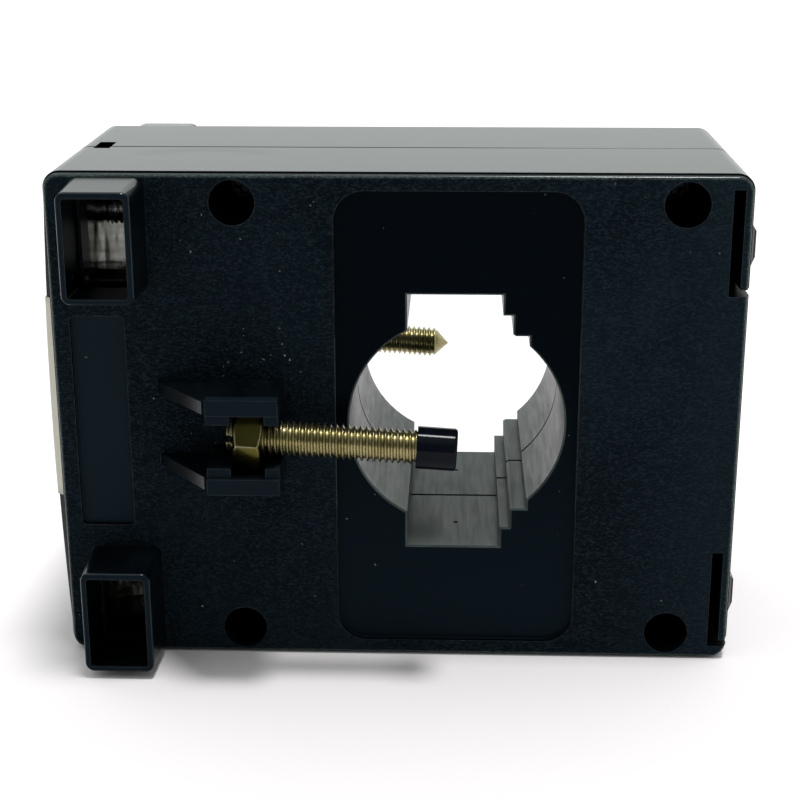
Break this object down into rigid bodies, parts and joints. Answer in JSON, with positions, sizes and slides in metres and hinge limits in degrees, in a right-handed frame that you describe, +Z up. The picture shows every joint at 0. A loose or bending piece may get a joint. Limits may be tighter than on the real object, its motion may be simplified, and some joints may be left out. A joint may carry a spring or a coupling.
{
  "type": "current transformer",
  "caption": "Window-type current transformer: a split case round a stepped busbar and cable window, with clamp screws in nut holders on its faces and hooded screw terminals.",
  "frame": {"origin": "on the axis of the window, half way through the depth of the case", "axes": "+Y along the window axis, from the capped front face to the rear; +X along the long side, away from the terminals; +Z up, standing on the long side as in the picture"},
  "size_m": [0.0815, 0.0522, 0.0592],
  "materials": {
    "case_plastic": "fine spark texture on the faces, smooth sides",
    "label_film": "matt cream film, bare",
    "passivated_steel": "yellow passivated zinc on steel",
    "zinc_steel": "bright zinc plate",
    "cap_plastic": "glossy black",
    "nickel_plate": "nickel plated strip",
    "core_steel": "wound strip",
    "core_insulation": "moulded channel",
    "enamelled_copper": "enamelled wire",
    "tape_film": "wound film tape",
    "lead_insulation": "sleeved wire"
  },
  "bodies": {
    "case": {"front_housing": "case_plastic", "rear_housing": "case_plastic", "rating_label": "label_film", "case_screws": "zinc_steel", "front_clamp_nut": "passivated_steel", "rear_clamp_nut": "passivated_steel", "upper_terminal_body": "nickel_plate", "lower_terminal_body": "nickel_plate", "ring_core": "core_steel", "core_cap_front": "core_insulation", "core_cap_rear": "core_insulation", "secondary_winding": "enamelled_copper", "winding_tape": "tape_film", "upper_lead": "lead_insulation", "lower_lead": "lead_insulation"},
    "front_cap": {"front_screw_cap": "cap_plastic"},
    "front_screw": {"front_clamp_screw": "passivated_steel"},
    "rear_screw": {"rear_clamp_screw": "passivated_steel"},
    "upper_plate": {"upper_pressure_plate": "nickel_plate"},
    "upper_screw": {"upper_terminal_screw": "zinc_steel"},
    "lower_plate": {"lower_pressure_plate": "nickel_plate"},
    "lower_screw": {"lower_terminal_screw": "zinc_steel"}
  },
  "joints": [
    {"name": "front_cap_slide", "type": "slide", "parent": "case", "child": "front_cap", "axis": [0.998, 0, -0.0628], "range_m": [-0.015, 0.001]},
    {"name": "front_screw_turn", "type": "hinge", "parent": "front_cap", "child": "front_screw", "pos_m": [-0.0236, -0.0219, 0.0001], "axis": [0.998, 0, -0.0628], "range_deg": [-7715, 515]},
    {"name": "rear_screw_slide", "type": "slide", "parent": "case", "child": "rear_screw", "axis": [0.998, 0, -0.0628], "range_m": [-0.015, 0.001]},
    {"name": "upper_plate_slide", "type": "slide", "parent": "case", "child": "upper_plate", "axis": [1, 0, 0], "range_m": [-0.0038, 0.00045]},
    {"name": "upper_screw_turn", "type": "hinge", "parent": "upper_plate", "child": "upper_screw", "pos_m": [-0.0446, 0, 0.0221], "axis": [1, 0, 0], "range_deg": [-1955, 232]},
    {"name": "lower_plate_slide", "type": "slide", "parent": "case", "child": "lower_plate", "axis": [1, 0, 0], "range_m": [-0.0038, 0.00045]},
    {"name": "lower_screw_turn", "type": "hinge", "parent": "lower_plate", "child": "lower_screw", "pos_m": [-0.0446, 0, -0.0221], "axis": [1, 0, 0], "range_deg": [-1955, 232]}
  ],
  "couplings": [
    {"joint": "front_screw_turn", "follows": "front_cap_slide", "rad_per_m": 8976},
    {"joint": "upper_screw_turn", "follows": "upper_plate_slide", "rad_per_m": 8976},
    {"joint": "lower_screw_turn", "follows": "lower_plate_slide", "rad_per_m": 8976}
  ]
}
